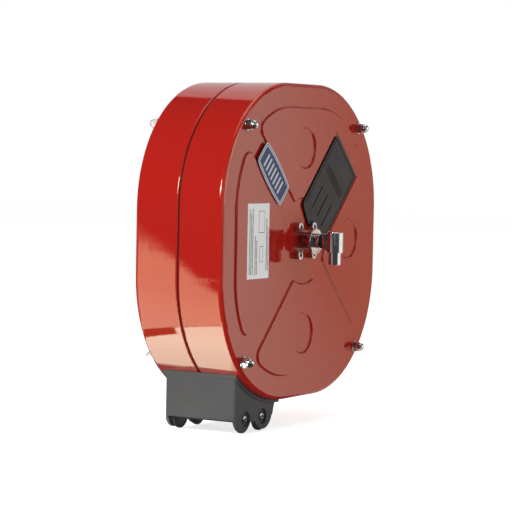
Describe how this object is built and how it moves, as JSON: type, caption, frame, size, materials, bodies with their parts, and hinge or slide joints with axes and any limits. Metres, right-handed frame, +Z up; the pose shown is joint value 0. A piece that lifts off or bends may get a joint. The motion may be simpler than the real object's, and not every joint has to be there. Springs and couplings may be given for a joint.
{
  "type": "enclosed wall hose reel",
  "caption": "Enclosed spring-rewound wall hose reel in pressed red steel half shells, with a roller hose outlet and a swivel water inlet on the front.",
  "frame": {"origin": "centre of the rear contact plane, where the rear raised panels meet the wall, on the drum axis", "axes": "+Z up, -Y the front with the water inlet, +X to the right seen from the front"},
  "size_m": [0.44, 0.217, 0.4805],
  "materials": {
    "red_paint": "glossy",
    "blue_enamel": "glossy",
    "white_label": "semi-gloss",
    "black_moulding": "matte",
    "black_rubber": "matte",
    "zinc": "zinc plated",
    "chrome": "polished",
    "dark_steel": "blackened",
    "bright_steel": "ground",
    "spring_steel": "blued",
    "galvanised": "satin",
    "cast_aluminium": "cast",
    "bronze": "satin"
  },
  "bodies": {
    "case": {"front_shell": "red_paint", "rear_shell": "red_paint", "seam_seal": "black_rubber", "tie_rods": "zinc", "spacer_tubes": "zinc", "front_cap_nuts": "chrome", "rear_cap_nuts": "chrome", "front_washers": "zinc", "rear_washers": "zinc", "weld_nuts": "zinc", "hatch_cover": "black_moulding", "badge_plate": "blue_enamel", "data_label": "white_label", "bearing_flange": "cast_aluminium", "flange_screws": "zinc", "front_bush": "bronze", "rear_backing_plate": "zinc", "fixed_arbor": "dark_steel", "arbor_rivets": "zinc", "outlet_frame": "black_moulding", "roller_bolts": "zinc", "roller_nuts": "zinc", "pawl_stud": "zinc", "pawl_clip": "spring_steel"},
    "drum": {"drum_front_disc": "galvanised", "drum_rear_disc": "galvanised", "drum_barrel": "galvanised", "drum_tie_bolts": "zinc", "drum_tie_nuts": "zinc", "fluid_shaft": "bright_steel", "shaft_flange_screws": "zinc", "feed_pipe": "bronze", "hose_tail": "bronze", "spring_case": "galvanised", "power_spring": "spring_steel", "drum_hub": "zinc", "rear_bush": "bronze", "journal_bush": "bronze", "ratchet_ring": "dark_steel", "ratchet_rivets": "zinc", "swivel_collar": "chrome", "swivel_seals": "black_rubber", "dust_seal": "black_rubber"},
    "inlet_swivel": {"inlet_elbow": "chrome"},
    "roller_left": {"outlet_roller_left": "black_moulding"},
    "roller_right": {"outlet_roller_right": "black_moulding"},
    "pawl": {"ratchet_pawl": "dark_steel", "pawl_spring": "spring_steel"}
  },
  "joints": [
    {"name": "drum_spin", "type": "hinge", "parent": "case", "child": "drum", "pos_m": [0, -0.0715, 0], "axis": [0, -1, 0], "continuous": true},
    {"name": "inlet_turn", "type": "hinge", "parent": "case", "child": "inlet_swivel", "pos_m": [0, -0.1824, 0], "axis": [0, -1, 0], "continuous": true},
    {"name": "roller_left_spin", "type": "hinge", "parent": "case", "child": "roller_left", "pos_m": [-0.1275, -0.0715, -0.241], "axis": [0, -1, 0], "continuous": true},
    {"name": "roller_right_spin", "type": "hinge", "parent": "case", "child": "roller_right", "pos_m": [-0.082, -0.0715, -0.241], "axis": [0, -1, 0], "continuous": true},
    {"name": "pawl_swing", "type": "hinge", "parent": "case", "child": "pawl", "pos_m": [-0.07778, -0.0165, -0.07778], "axis": [0, -1, 0], "range_deg": [0, 10]}
  ]
}
